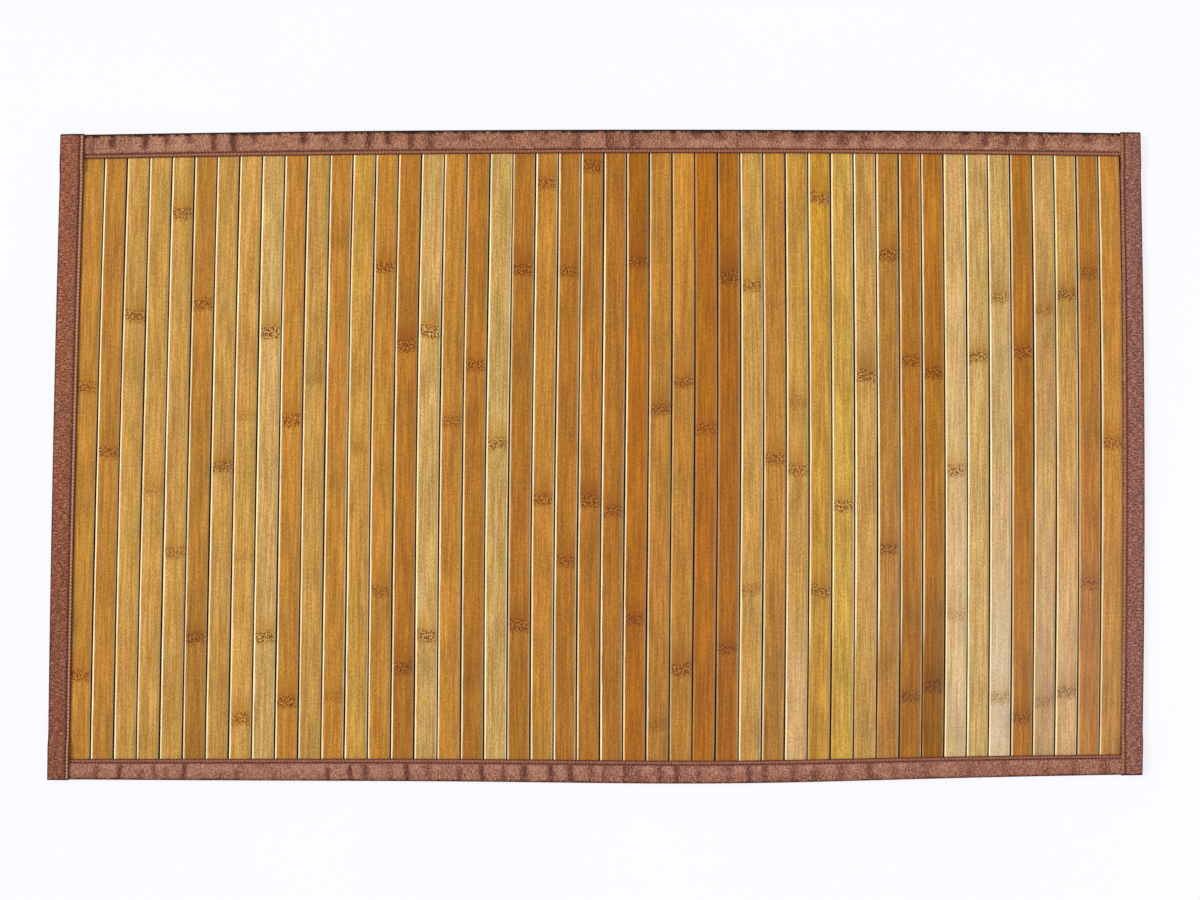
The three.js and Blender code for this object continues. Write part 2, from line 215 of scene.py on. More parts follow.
# The long tapes' creases: place along X, depth, half-width, and reach as a share of the way in
CREASES = {
    "front_tape": [
        (-387, 0.6, 2.5, 0.9), (-369, 0.9, 2.2, 1), (-352, 0.6, 2.5, 0.6), (-342, 0.6, 2, 1),
        (-333, 0.5, 2, 0.8), (-319, 1, 1.9, 1), (-291, 0.5, 2.5, 0.5), (-278, 0.7, 2, 0.6),
        (-250, 0.3, 3, 0.8), (-208, 0.9, 1.9, 0.8), (-191, 1, 1.9, 0.9), (-179, 0.8, 2.5, 1),
        (-160, 0.4, 2.5, 1), (-147, 1, 2.2, 1), (-131, 0.5, 2.5, 1), (-106, 0.6, 2.5, 0.9),
        (-89, 0.9, 2.3, 1), (-72, 0.6, 2.2, 1), (-56, 0.9, 3, 1), (-35, 1, 2.3, 1),
        (-20, 0.8, 3, 1), (-4, 0.5, 3, 1), (33, 0.5, 2.5, 0.8), (50, 0.6, 2.5, 1),
        (63, 0.8, 2.6, 1), (80, 0.5, 2.2, 1), (103, 0.4, 3, 1), (119, 0.8, 2.3, 1),
        (131, 0.7, 2.5, 1), (153, 0.5, 3, 1), (170, 0.7, 3.5, 0.7), (190, 0.5, 2.5, 1),
        (213, 0.6, 2.5, 1), (232, 0.4, 2.5, 1), (255, 0.4, 4, 1), (290, 0.4, 4, 1),
        (318, 0.3, 4, 1), (350, 0.3, 3, 0.6), (372, 0.3, 4, 1), (395, 0.4, 4, 1),
    ],
    "back_tape": [
        (-400, 0.5, 2.5, 1), (-384, 1, 3, 0.75), (-358, 1, 2.5, 0.8), (-341, 0.8, 2.2, 0.6),
        (-323, 0.5, 2.2, 0.5), (-304, 0.8, 2.5, 1), (-289, 1, 2.8, 1), (-273, 0.6, 2.5, 0.6),
        (-234, 1, 2.8, 0.7), (-217, 0.5, 2.5, 0.6), (-201, 1, 2.6, 0.7), (-183, 0.9, 3, 0.9),
        (-168, 0.9, 3.2, 0.8), (-150, 0.8, 3, 1), (-135, 0.7, 4, 1), (-108, 0.6, 5, 0.6),
        (-73, 0.5, 3, 0.6), (-45, 0.5, 4, 0.8), (57, 0.6, 2.5, 0.8), (75, 0.8, 5, 0.5),
        (94, 0.7, 5, 0.6), (117, 0.5, 4, 0.5), (135, 0.6, 5, 0.6), (156, 0.8, 5, 0.6),
        (174, 0.7, 5, 0.6), (190, 0.7, 5, 0.8), (207, 0.8, 4, 0.6), (226, 0.6, 4, 0.5),
        (244, 0.6, 5, 0.6), (263, 0.5, 5, 0.6), (285, 0.6, 4, 0.7), (302, 0.9, 3, 0.8),
        (319, 0.8, 3, 0.8), (333, 0.6, 3, 0.9), (347, 0.6, 3, 0.9), (365, 0.5, 4, 0.5),
        (383, 0.7, 4, 0.6), (400, 0.6, 3, 0.6),
    ],
}
# The creases sink the cloth and also carry painted shade
CREASE_DEPTH, CREASE_SLANT = 0.38, 0.12
CREASE_FROM = 1.5  # the height below which a tape shows none
# Sharp folds in the long tapes: place, reach of the shade (leftwards if below 0) and its depth
FOLDS = {
    "front_tape": [(5, 6, 0.7), (21, 9, 0.9)],
    "back_tape": [(-17, -13, 0.7), (3, 12, 0.9), (22, 10, 0.9), (106, 10, 0.5)],
}
# How strong the light columns over the gaps between slats are at a place along X
GLEAMS = {
    "front_tape": [(-425, 0.2), (40, 0.5), (240, 0.45), (425, 0.2)],
    "back_tape": [(-425, 0.15), (-60, 0.1), (40, 0.5), (425, 0.45)],
}
# Height and wavelength of the waves in the side tapes' faces, and in all tapes' faces
SIDE_WAVES, ALL_WAVES = (0.1, 31.0), (0.06, 7.0)
# How deep the needle holes are, how high the rim puffs up between them, and how far it swings
HOLE_DEPTH, RIM_PUFF, LONG_RIM_SWING, SIDE_RIM_SWING = 0.16, 0.14, 0.12, 0.4

STITCH = 2.75  # from one needle hole to the next
STEPS_A_STITCH = 4
THREAD_RADIUS, THREAD_SIDES = 0.28, 6
# A thread's places along its stitch, its width there, and its rise on the upper and under side
THREAD_PLACES = (0.06, 0.2, 0.5, 0.8, 0.94)
THREAD_WIDTHS = (0.75, 1.0, 1.0, 1.0, 0.75)
UPPER_ARCH, LOWER_ARCH = (-0.3, 0.12, 0.24, 0.12, -0.3), (0.3, 0.0, 0.0, 0.0, 0.3)
UPPER_SINK, LOWER_RISE = 0.36, 0.05  # from the tape's top, and from the floor
# How much of a stitch row is left out at its ends; those of the long rows lie under the side tapes
LONG_ROW_HIDDEN, SIDE_ROW_HIDDEN = 18.5, 1.4

# The backing's cells beyond and between the snips, where two lines turn to follow them, and its ripple
CORNER_COLUMNS, MIDDLE_COLUMNS, CORNER_ROWS, MIDDLE_ROWS = 5, 90, 3, 50
SNIP_FRONT, SNIP_BACK = 19.0, 21.0
RIPPLE = 0.1

FLOOR_HALF = 6.0  # in metres
RANDOM_SEED = 7


def ease(low, high, value):
    """From 0 where value is low to 1 where it is high, with soft ends."""
    share = np.clip((value - low) / (high - low), 0, 1)
    return share * share * (3 - 2 * share)


def drift_at(u, v):
    """How far a point drifts right. u and v are shares of half the mat's length and depth."""
    rising = ease(DRIFT_START, DRIFT_FULL, u)
    falling = ease(DRIFT_FALL, DRIFT_END, u)
    return DRIFT * (1 - DRIFT_FRONT_SHARE * v) * rising * (1 - falling)


def lie(x, y, z):
    """Points of the straight mat in mm as they lie, in metres: leaning, bowed, and wandering a little."""
    x, y, z = np.broadcast_arrays(*(np.asarray(part, float) for part in (x, y, z)))
    u = x / (LENGTH / 2)
    v = y / (DEPTH / 2)
    swell = SWELL * np.exp(-(((u - SWELL_AT) / SWELL_REACH) ** 2))
    wander = WANDER * np.sin(x / WANDER_ACROSS + y / WANDER_ALONG)
    side_bow = np.where(u > 0, BOW_RIGHT, BOW_LEFT)
    end_bow = np.where(v > 0, BOW_BACK, BOW_FRONT + swell)
    lain_x = x + LEAN * v + u * side_bow * (1 - v * v) + wander * (1 - u * u) + drift_at(u, v) - MIDDLE_X
    lain_y = y + v * end_bow * (1 - u * u) - MIDDLE_Y
    return np.stack([lain_x, lain_y, z], -1) / 1000


def linear(hex_colour):
    """A colour written as six hex digits, as linear RGBA."""
    parts = np.array([int(hex_colour[i:i + 2], 16) / 255 for i in (0, 2, 4)])
    return (*np.where(parts <= 0.04045, parts / 12.92, ((parts + 0.055) / 1.055) ** 2.4), 1.0)


def make_object(name, data):
    thing = bpy.data.objects.new(name, data)
    bpy.context.scene.collection.objects.link(thing)
    return thing


def make_piece(name, points, faces, facts, material, slot, *nodes):
    """A smooth mesh that rides on the mat and takes the place of nodes. facts are named numbers, or rows
    of three, that each point carries."""
    mesh = bpy.data.meshes.new(name)
    mesh.from_pydata(points.reshape(-1, 3).tolist(), [], faces)
    for fact, values in facts.items():
        values = np.asarray(values, np.float32)
        is_row = values.shape[-1] == 3 and values.ndim > 1
        attribute = mesh.attributes.new(fact, "FLOAT_VECTOR" if is_row else "FLOAT", "POINT")
        attribute.data.foreach_set("vector" if is_row else "value", values.ravel())
    mesh.shade_smooth()
    mesh.materials.append(material)
    piece = make_object(name, mesh)
    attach(piece, "root")
    if nodes:
        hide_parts(*nodes)
    return piece


def rows_of(full, *values):
    """A row of the given values for each point of a grid, full being that grid's ones."""
    return np.stack([value * full for value in values], -1).reshape(-1, len(values))


def ring_faces(rows, around, flip=False):
    """Quads between successive closed rings of points."""
    first = np.arange(rows - 1)[:, None] * around
    here = np.arange(around)[None, :]
    after = (here + 1) % around
    quads = np.stack([first + here, first + after, first + around + after, first + around + here], -1)
    quads = quads.reshape(-1, 4)
    return (quads[:, ::-1] if flip else quads).tolist()


def from_ends(along, back, middle, front):
    """A value along a slat that has one level near each end and one between them."""
    near_back, near_front = ease(*BACK_END, along), ease(*FRONT_END, along)
    return middle + (back - middle) * near_back + (front - middle) * near_front


def noise_1d(places, wave, seed):
    """Smooth seeded noise from -1 to 1 along a line, with the given wavelength."""
    rng = np.random.default_rng(seed)
    low = np.floor(places.min() / wave) - 1
    count = int(np.ceil(places.max() / wave) - low) + 3
    values = rng.uniform(-1, 1, count)
    at = places / wave - low
    index = at.astype(int)
    share = ease(0, 1, at - index)
    return values[index] * (1 - share) + values[index + 1] * share


class Nodes:
    """A short way to write a material's nodes."""

    def __init__(self, name):
        self.material = bpy.data.materials.new(name)
        self.material.use_nodes = True
        self.tree = self.material.node_tree
        self.shader = self.tree.nodes["Principled BSDF"]

    def add(self, kind, values=None, **settings):
        node = self.tree.nodes.new(kind)
        for key, value in settings.items():
            setattr(node, key, value)
        for socket, value in (values or {}).items():
            self.set(node.inputs[socket], value)
        return node

    def set(self, socket, value):
        if isinstance(value, bpy.types.NodeSocket):
            self.tree.links.new(value, socket)
        else:
            socket.default_value = value

    def number(self, name):
        """The number that each point carries under a name."""
        return self.add("ShaderNodeAttribute", attribute_name=name).outputs["Fac"]

    def row(self, name):
        """The three numbers that each point carries under a name."""
        vector = self.add("ShaderNodeAttribute", attribute_name=name).outputs["Vector"]
        return self.add("ShaderNodeSeparateXYZ", {0: vector}).outputs

    def join(self, x=0.0, y=0.0, z=0.0):
        return self.add("ShaderNodeCombineXYZ", {0: x, 1: y, 2: z}).outputs[0]

    def math(self, operation, a, b=0.0, c=0.0, clamp=False):
        node = self.add("ShaderNodeMath", {0: a, 1: b, 2: c}, operation=operation, use_clamp=clamp)
        return node.outputs[0]

    def times(self, a, b, plus=None):
        """a times b, plus a third value where one is given."""
        return self.math("MULTIPLY", a, b) if plus is None else self.math("MULTIPLY_ADD", a, b, plus)

    def share(self, value, most):
        """value times most, held between 0 and 1."""
        return self.math("MULTIPLY", value, most, clamp=True)

    def ramp(self, value, low, high, to_low=0.0, to_high=1.0):
        """value from low to high, turned smoothly into to_low to to_high."""
        node = self.add("ShaderNodeMapRange", interpolation_type="SMOOTHSTEP")
        for socket, number in zip(node.inputs, (value, low, high, to_low, to_high)):
            self.set(socket, number)
        return node.outputs[0]

    def noise(self, vector, scale, detail=2.0, roughness=0.5):
        values = {"Vector": vector, "Scale": scale, "Detail": detail, "Roughness": roughness}
        return self.add("ShaderNodeTexNoise", values).outputs["Fac"]

    def mix(self, share, a, b, blend="MIX"):
        node = self.add("ShaderNodeMix", data_type="RGBA", blend_type=blend)
        for socket, value in zip((node.inputs[0], node.inputs[6], node.inputs[7]), (share, a, b)):
            self.set(socket, value)
        return node.outputs[2]

    def painted(self, colour, *layers):
        """colour with layers over it, each a share and a colour."""
        for share, over in layers:
            colour = self.mix(share, colour, over)
        return colour

    def finish(self, colour, roughness, levels, relief=None, strength=0.0, depth=0.0):
        """The material, with its shader's sockets set and a bump where there is relief."""
        self.set(self.shader.inputs["Base Color"], colour)
        self.set(self.shader.inputs["Roughness"], roughness)
        for socket, level in levels.items():
            self.shader.inputs[socket].default_value = level
        if relief is not None:
            bump = self.add("ShaderNodeBump", {"Height": relief, "Strength": strength, "Distance": depth})
            self.set(self.shader.inputs["Normal"], bump.outputs[0])
        return self.material


def shifted(colour, red, green, blue):
    return (colour[0] * red, colour[1] * green, colour[2] * blue, 1.0)


def bamboo_streaks(n, across, along, number, apart):
    """Noise drawn out along the slats and different on each, by the pattern's name."""
    streaks = {}
    for name, (across_scale, along_scale, detail, roughness, offset) in STREAKS.items():
        x = n.times(across, across_scale, apart)
        y = n.times(along, along_scale)
        streaks[name] = n.noise(n.join(x, y, n.math("ADD", number, offset)), 1.0, detail, roughness)
    return streaks


def bamboo_grain(n, own, shades, streaks):
    """The wood's colour between its knots: olive to orange, with dark and light fibres, a golden tint and a
    whitish painted sheen.
    """
    colour = n.mix(n.ramp(streaks["hue"], 0.42, 0.58), shades["olive"], shades["orange"])
    colour = n.mix(0.35, colour, own)
    for name, share in DARK_SHARES.items():
        colour = n.mix(n.ramp(streaks[name], 0.5, 0.63, 0.0, share), colour, shades["dark"])
        colour = n.mix(n.ramp(streaks[name], 0.48, 0.36, 0.0, share * LIGHT_SHARE), colour, shades["light"])
    tint_and_sheen = n.number("tint_and_sheen")
    colour = n.mix(n.share(tint_and_sheen, -1.0), colour, GOLDEN_TINT, "MULTIPLY")
    # where the cast is above 0, a whitish painted sheen, broken up by flecks
    whitish = n.share(tint_and_sheen, 1.0)
    painted_sheen = n.times(whitish, n.ramp(streaks["flecks"], 0.65, 0.35, 0.35, 1.0))
    return n.mix(painted_sheen, colour, PAINTED_SHEEN)


def knot_shares(n, ripple):
    """How much of a point belongs to a knot's band and to the stain beside it."""
    places = n.row("knots")
    strengths = n.row("knot_strengths")
    band, stain = 0.0, 0.0
    for place, strength in zip(places, strengths):
        away = n.math("SUBTRACT", ripple, place)
        inside = n.times(n.ramp(n.math("ABSOLUTE", away), *BAND_FADE), strength)
        band = n.math("MAXIMUM", band, inside)
        beside = n.times(n.ramp(away, *STAIN_FRONT), n.ramp(away, *STAIN_BACK))
        stain = n.math("MAXIMUM", stain, n.times(beside, strength))
    return band, stain


def bamboo_knots(n, across, along, number, apart, colour, shades):
    """The colour with its knots, each a stain and a band of dark scales with light edges, and the scales."""
    ripple = n.noise(n.join(n.times(across, 0.25), number, apart), 1.0, 3.0)
    ripple = n.times(n.math("SUBTRACT", ripple, 0.5), 9.0, along)
    band, stain = knot_shares(n, ripple)
    arched = n.math("ABSOLUTE", n.math("SUBTRACT", across, 2.0))
    scale_x = n.times(across, 0.75, apart)
    scale_y = n.times(arched, 0.15, n.times(ripple, 0.75))
    scales = n.noise(n.join(scale_x, scale_y, number), 1.0, 2.0, 0.6)
    dark_scales = n.times(n.ramp(scales, 0.51, 0.45), band)
    light_edges = n.times(n.ramp(scales, 0.53, 0.6), band)
    colour = n.painted(
        colour,
        (n.share(stain, 0.5), shades["warm"]),
        (n.share(band, 0.55), shades["warm"]),
        (n.share(dark_scales, 1.0), linear("6c3000")),
        (n.share(light_edges, 0.7), shades["light"]),
    )
    return colour, dark_scales


def bamboo_edges(n, across, along, apart, left_line, right_line, colour):
    """Adds pale bevels with wavy borders and a painted highlight on them, a painted shade that greys the
    right side, and a dark painted shade on the sides in the gaps.
    """
    waver = n.noise(n.join(n.times(along, 0.07), apart, across), 1.0, 2.0)
    waver = n.math("SUBTRACT", waver, 0.5)
    from_left = n.math("ADD", across, SLAT_WIDTH / 2)
    from_right = n.math("SUBTRACT", SLAT_WIDTH / 2, across)
    on_left = n.ramp(n.math("ADD", from_left, waver), 1.6, 1.05)
    on_right = n.ramp(n.math("ADD", from_right, waver), 1.1, 0.8)
    # painted shade greys the right side, and the pale bevels carry a painted highlight
    colour = n.painted(
        colour,
        (n.times(n.ramp(from_right, 3.2, 0.8), 0.35), RIGHT_SIDE_SHADE),
        (n.times(on_left, left_line), BEVEL_CREAM_AND_HIGHLIGHT),
        (n.times(on_right, right_line), BEVEL_CREAM_AND_HIGHLIGHT),
    )
    # painted shade on the slats' sides below the bevels, in the gaps
    height = n.number("height")
    return n.mix(n.ramp(height, SLAT_THICKNESS - 0.42, SLAT_THICKNESS - 0.58), colour, GAP_SIDE_SHADE)


def bamboo_material(tone):
    """Lacquered bamboo of one tone. Its points carry place (across, along, slat number), knots and
    knot_strengths (three each), finish (left line, right line, shade), height, dull and cast, a golden tint
    below 0 and a whitish painted sheen above it."""
    own = linear(TONES[tone])
    shades = {name: shifted(own, *shift) for name, shift in SHIFTS.items()}
    n = Nodes(f"bamboo_{tone}")
    across, along, number = n.row("place")
    left_line, right_line, shade = n.row("finish")
    apart = n.times(number, 31.7)
    streaks = bamboo_streaks(n, across, along, number, apart)
    colour = bamboo_grain(n, own, shades, streaks)
    colour, dark_scales = bamboo_knots(n, across, along, number, apart, colour, shades)
    brightness = n.times(n.math("SUBTRACT", streaks["patches"], 0.5), 0.7, shade)
    colour = n.mix(1.0, colour, n.join(brightness, brightness, brightness), "MULTIPLY")
    colour = bamboo_edges(n, across, along, apart, left_line, right_line, colour)

    lacquer = n.ramp(streaks["fibres"], 0.3, 0.7, 0.3, 0.42)
    roughness = n.times(n.number("dull"), 0.14, lacquer)
    grain = n.times(streaks["hairs"], 0.5, streaks["fibres"])
    relief = n.times(dark_scales, -0.6, grain)
    levels = {"Specular IOR Level": 0.16, "Coat Weight": 0.03, "Coat Roughness": 0.2}
    return n.finish(colour, roughness, levels, relief, 0.25, 0.00015)


def twill_pattern(n, at, along, across):
    """The slanting ribs of the weave and its single yarns, slightly warped, from 0 to 1."""
    warp = n.times(n.math("SUBTRACT", n.noise(at, 0.5, 2.0), 0.5), 2.2)
    diagonal = n.math("ADD", n.math("ADD", along, n.times(across, 0.8)), warp)
    rib = n.math("SINE", n.times(diagonal, 3.6))
    yarn = n.math("SINE", n.times(n.math("ADD", along, warp), 8.5))
    return n.times(rib, 0.35, n.times(yarn, 0.15, 0.5))


def tape_material(name, colours):
    """Twill cloth, with painted light and shade in its colour. Its points carry weave (along, across, 0),
    crease (painted shade), light (painted highlight), rim (painted highlight on the beads), seam (painted
    shade) and edge (painted shade).
    """
    middle, dark, light, bead_highlight, outline = (linear(colour) for colour in colours)
    n = Nodes(name)
    along, across, _ = n.row("weave")
    crease_and_dusk_shade, painted_highlight, rim, seam_shade, edge = map(n.number, ("crease_and_dusk_shade", "light", "rim", "seam_shade", "edge"))
    at = n.join(along, across)
    twill = twill_pattern(n, at, along, across)
    thread_place = n.join(n.times(along, 0.85), n.times(across, 0.25))
    threads = n.noise(thread_place, 1.0, 2.0, 0.7)
    specks = n.noise(at, 0.85, 2.0, 0.8)
    patch = n.noise(at, 0.07, 2.0)

    colour = n.mix(n.ramp(patch, 0.35, 0.65, 0, 0.3), middle, dark)
    colour = n.painted(
        colour,
        # painted highlight on the puffs, over the gaps and towards the left end
        (n.share(painted_highlight, 0.9), light),
        # painted shade in the long tapes' creases, and towards a side tape's front
        (n.share(crease_and_dusk_shade, 0.95), linear("4f1e15")),
        (n.ramp(threads, 0.5, 0.62, 0, 0.5), light),
        (n.ramp(threads, 0.46, 0.36, 0, 0.45), dark),
        (n.ramp(specks, 0.53, 0.63, 0, 0.6), light),
        (n.ramp(specks, 0.48, 0.38, 0, 0.65), dark),
        (n.ramp(twill, 0.45, 0.05, 0, 0.35), dark),
        (n.share(crease_and_dusk_shade, 0.6), linear("59231a")),
        # painted highlight on the rim's beads
        (n.share(rim, 0.85), bead_highlight),
        # painted shade in the stitch groove, along the inner edge and between the beads
        (n.share(seam_shade, 0.9), linear("3f150b")),
        # painted shade along the outer fold and at the cut ends
        (n.share(edge, 0.95), outline),
    )
    roughness = n.ramp(twill, 0, 1, 0.9, 0.75)
    levels = {"Specular IOR Level": 0.2, "Sheen Weight": 0.05, "Sheen Roughness": 0.4}
    return n.finish(colour, roughness, levels, n.times(specks, 0.6, twill), 0.6, 0.00025)


def thread_material():
    """Twisted sewing thread. Its points carry weave (along, round, 0)."""
    n = Nodes("sewing_thread")
    along, around, _ = n.row("weave")
    twist = n.math("SINE", n.math("ADD", n.times(along, 9.0), n.times(around, 6.28)))
    worn = n.noise(n.join(n.times(along, 0.02), around), 1.0, 2.0)
    colour = n.mix(n.ramp(twist, -1.0, 1.0), linear("3a150c"), linear("6e3222"))
    colour = n.mix(n.ramp(worn, 0.4, 0.7, 0, 0.5), colour, linear("94543e"))
    return n.finish(colour, n.ramp(twist, -1.0, 1.0, 0.75, 0.55), {}, twist, 0.5, 0.0001)


def backing_material():
    """Coarse dark cloth in plain weave. Its points carry weave (along, across, 0)."""
    n = Nodes("backing_cloth")
    along, across, _ = n.row("weave")
    warp = n.math("SINE", n.times(along, 4.2))
    weft = n.math("SINE", n.times(across, 4.2))
    over = n.times(warp, weft)
    fuzz = n.noise(n.join(along, across), 1.4, 3.0, 0.7)
    patch = n.noise(n.join(along, across), 0.012, 3.0)
    colour = n.mix(n.ramp(over, -0.8, 0.8), linear("33211a"), linear("55392c"))
    colour = n.mix(n.ramp(fuzz, 0.45, 0.75, 0, 0.5), colour, linear("6b4a38"))
    colour = n.mix(n.ramp(patch, 0.35, 0.65, 0, 0.4), colour, linear("2a1a13"))
    roughness = n.ramp(fuzz, 0.3, 0.7, 0.95, 0.8)
    return n.finish(colour, roughness, {}, n.times(fuzz, 0.5, over), 0.6, 0.0003)


def slat_section(width):
    """A slat's closed section, anticlockwise: a flat underside, rounded bevels and a flat face."""
    half, top = width / 2, SLAT_THICKNESS
    right = [
        (half - 0.15, 0.0), (half, 0.2), (half, top - 1.0), (half - 0.1, top - 0.68),
        (half - 0.35, top - 0.4), (half - 0.7, top - 0.22), (half - 1.1, top - 0.11),
        (half - 2.2, top - 0.05), (half - 4.6, top),
    ]
    left = [(-across, height) for across, height in reversed(right)]
    return np.array(right + [(0.0, top)] + left + [(0.0, 0.0)])


def make_slat(name, node, centre, width, number, row, materials, rng):
    """One slat. number also sets its sway, as in the CAD model."""
    tone, left_line, right_line, knots = row
    section = slat_section(width)
    half_length = DEPTH / 2 - FOLD_INSET
    along = np.linspace(-half_length, half_length, SLAT_STEPS)[:, None]
    across, height = section[:, 0][None, :], section[:, 1][None, :]
    seed = int(number) + 100
    sway = SWAY * np.sin(along / SWAY_WAVE + SWAY_TURN * number)
    sway = sway + GATHER * max(-centre / (LENGTH / 2), 0) * (0.5 + along / DEPTH)
    wobble = WOBBLE * noise_1d(along, WOBBLE_WAVE, seed) * np.sign(across)
    roll = rng.uniform(-ROLL, ROLL) * across * (height > SLAT_THICKNESS / 2)
    points = lie(centre + across + sway + wobble, along + 0 * across, SLAT_BASE + height + roll)
    around = len(section)
    faces = ring_faces(SLAT_STEPS, around, flip=True)
    last = (SLAT_STEPS - 1) * around
    faces += [list(range(around)), list(range(last + around - 1, last - 1, -1))]

    unevenness = LINE_UNEVENNESS * (noise_1d(along, LINE_WAVE, seed + 500) - 0.5)
    left_line = left_line * (1 + unevenness)
    if number + 1 in DULL_FRONTS:
        left_line = left_line * (DULL_LEVEL + (1 - DULL_LEVEL) * ease(DULL_FROM, DULL_TO, along))
    shade = rng.uniform(DARKEST, BRIGHTEST) + from_ends(along, *UNEVEN_SHADES.get(number + 1, USUAL_SHADES))
    tint_and_sheen = from_ends(along, *TINTS_AND_SHEENS.get(number + 1, NO_TINT_AND_SHEEN))
    full = np.ones((SLAT_STEPS, around))
    places, strengths = zip(*(knots + [NO_KNOT] * MOST_KNOTS)[:MOST_KNOTS])
    facts = {
        "place": rows_of(full, across, along, number),
        "knots": rows_of(full, *places),
        "knot_strengths": rows_of(full, *strengths),
        "finish": rows_of(full, left_line, right_line, shade),
        "height": height * full,
        "dull": DULLNESS.get(number + 1, 1) * full,
        "tint_and_sheen": tint_and_sheen * full,
    }
    make_piece(name, points, faces, facts, materials[tone], f"bamboo_{tone}", node)


def make_slats():
    rng = np.random.default_rng(RANDOM_SEED)
    materials = {tone: bamboo_material(tone) for tone in TONES}
    half = SLATS * PITCH / 2
    for i, row in enumerate(SLAT_ROWS):
        centre = (i + 0.5) * PITCH - half + SLAT_OFFSET
        number = f"{i + 1:02d}"
        make_slat(f"bamboo_{number}", f"slat_{number}", centre, SLAT_WIDTH, i, row, materials, rng)
    for word, side in (("left", -1), ("right", 1)):
        inner = half + SLAT_GAP / 2 + side * SLAT_OFFSET
        outer = LENGTH / 2 - FOLD_INSET
        centre, width = side * (inner + outer) / 2, outer - inner
        name, node = f"edge_bamboo_{word}", f"edge_slat_{word}"
        make_slat(name, node, centre, width, side * SLATS, EDGE_SLAT_ROW, materials, rng)


def cover_at(cover, share):
    start, middle, end = cover
    chord = start + (end - start) * share
    return chord + (middle - (start + end) / 2) * 4 * share * (1 - share)


def bezier(start, control, end, shares):
    """Points inside a quadratic curve."""
    start, control, end = (np.array(p, float) for p in (start, control, end))
    return [tuple(start * (1 - s) ** 2 + control * 2 * s * (1 - s) + end * s * s) for s in shares]


def fold_stations(cover):
    """Outer and inner points of a tape's section, from its lower edge round to its upper edge, each as
    the way in from the mat's edge and the height."""
    line = cover - STITCH_INSET
    radius, top, under, thick = FOLD_RADIUS, TAPE_TOP, TAPE_UNDERSIDE, TAPE_THICKNESS
    shares = (0.25, 0.5, 0.75)
    outer = [(cover, 0.3), (cover - 0.4, 0.0), (line + 1.0, 0.02), (line, 0.4), (line - 1.0, 0.02)]
    outer += [(line * 0.7, 0.0), (line * 0.4, 0.0), (radius, 0.0)]
    outer += bezier((radius, 0), (0, 0), (0, radius), shares)
    outer += [(0.0, radius), (-0.03, top / 2), (0.0, top - radius)]
    outer += bezier((0, top - radius), (0, top), (radius, top), shares)
    outer += [(radius, top)]
    for share in (0.12, 0.24, 0.36, 0.5, 0.64, 0.76, 0.86):
        across = radius + (line - radius) * share
        outer.append((across, top + CROWN * np.sin(np.pi * share) ** 0.8))
    outer += [(line - 0.75, top - 0.02), (line - 0.35, top - 0.25), (line, top - 0.38)]
    outer += [(line + 0.35, top - 0.25), (line + 0.8, top - 0.02), (line + 1.5, top + 0.02)]
    outer += [(cover - 0.7, top - 0.04), (cover - 0.2, top - 0.16), (cover, top - 0.45)]

    # the inner side follows the outer one: level under and over the mat, and round inside the fold
    in_fold = [i for i, (across, _) in enumerate(outer) if across < radius]
    lowest, highest = outer[in_fold[0]][1], outer[in_fold[-1]][1]
    inner = []
    for across, height in outer:
        if across < radius:
            share = (height - lowest) / (highest - lowest)
            depth = radius - (radius - across) * (radius - thick) / radius
            inner.append((depth, thick + (under - thick) * (0.03 + 0.94 * share)))
        elif height < top / 2:
            inner.append((across, thick))
        else:
            share = np.clip((across - radius) / (line - radius), 0, 1)
            inner.append((across, under + CROWN * np.sin(np.pi * share)))
    return np.array(outer), np.array(inner)


def puffs_at(name, x):
    rows = np.array(PUFFS[name], float)
    rise = np.interp(x, rows[:, 0], rows[:, 1], left=0, right=0)
    over_slat = (1 - np.cos(2 * np.pi * (x - SLAT_OFFSET) / PITCH)) / 2
    uneven = 1 - PUFF_UNEVENNESS * (1 + np.sin(x / PUFF_WAVE))
    return rise * over_slat * uneven


def creases_at(name, x, inwards, line, seed):
    """How deep the creases are, from 0 to about 1, which both sinks the cloth and sets the painted shade in
    the creases. Each has its own slant and dies out further in.
    """
    rng = np.random.default_rng(seed)
    depth = 0.15 * np.maximum(noise_1d(x, 9.0, seed), 0) + 0 * inwards
    for place, size, half_width, reach in CREASES[name]:
        slant = rng.uniform(-CREASE_SLANT, CREASE_SLANT) * (inwards - line / 2)
        end = line * reach
        along = ease(end + 2, end - 3, inwards)
        depth = np.maximum(depth, size * along * np.exp(-(((x - place - slant) / half_width) ** 2)))
    for place, reach, size in FOLDS[name]:
        beyond = (x - place) * np.sign(reach)
        fading = np.exp(-np.maximum(beyond, 0) / abs(reach) * 1.5)
        depth = np.maximum(depth, size * ease(-0.4, 0.4, beyond) * fading)
    return depth


def gleams_at(name, x):
    """Light columns over the gaps between the slats, from 0 to 1."""
    rows = np.array(GLEAMS[name], float)
    strength = np.interp(x, rows[:, 0], rows[:, 1])
    over_gap = (1 + np.cos(2 * np.pi * (x - SLAT_OFFSET) / PITCH)) / 2
    return strength * over_gap ** 2


def turned(run, inwards, height, turn):
    """Points of a tape that runs along X with the mat on its +Y side, turned to their edge of the mat."""
    reach = DEPTH / 2 if turn in LONG_TURNS else LENGTH / 2
    x, y = run, inwards - reach
    for _ in range(turn):
        x, y = -y, x
    return lie(x, y, height)


